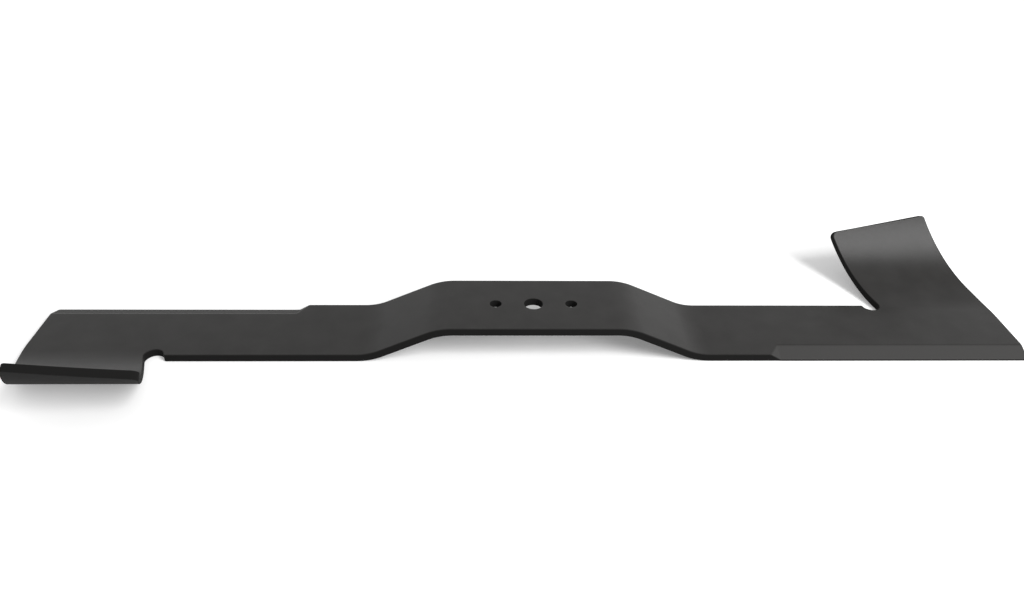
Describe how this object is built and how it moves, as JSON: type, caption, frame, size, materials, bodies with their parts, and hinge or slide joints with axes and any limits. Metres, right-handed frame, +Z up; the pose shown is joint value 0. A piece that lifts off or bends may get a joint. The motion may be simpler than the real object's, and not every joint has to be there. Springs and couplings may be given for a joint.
{
  "type": "rotary mower blade",
  "caption": "Pressed-steel rotary mower blade with a raised, drilled hub flat, offset arms, bevelled cutting edges and swept, up-curved lift wings at its ends.",
  "frame": {"origin": "centre of the centre hole on the hub flat's top face", "axes": "+X along the blade, +Y towards the trailing side of the +X arm, +Z up out of the hub flat, the way the lift wings rise"},
  "size_m": [0.497, 0.1416, 0.0349],
  "materials": {
    "blade_paint": "satin"
  },
  "bodies": {
    "root": {"blade": "blade_paint"}
  },
  "joints": []
}
